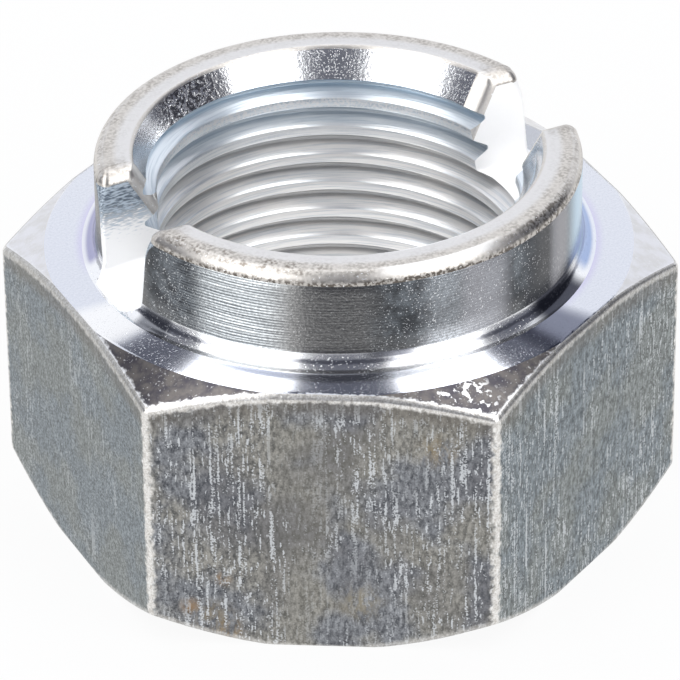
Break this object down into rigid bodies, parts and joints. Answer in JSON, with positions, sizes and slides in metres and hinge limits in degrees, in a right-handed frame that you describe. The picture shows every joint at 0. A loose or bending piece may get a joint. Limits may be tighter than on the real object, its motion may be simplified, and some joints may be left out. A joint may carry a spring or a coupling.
{
  "type": "slotted collar nut",
  "caption": "Hexagon nut with a fine right-hand thread, a countersunk mouth at each end, and a round collar crossed by one milled slot.",
  "frame": {"origin": "on the thread axis, in the plane of the bearing face", "axes": "+Z along the thread axis, from the bearing face towards the collar; X along the slot, square to two opposite flats; Y across two opposite corners"},
  "size_m": [0.036, 0.0414, 0.0243],
  "materials": {
    "plated_steel": "bright zinc plate over turned, milled and cold-drawn steel"
  },
  "bodies": {
    "root": {"nut": "plated_steel"}
  },
  "joints": []
}
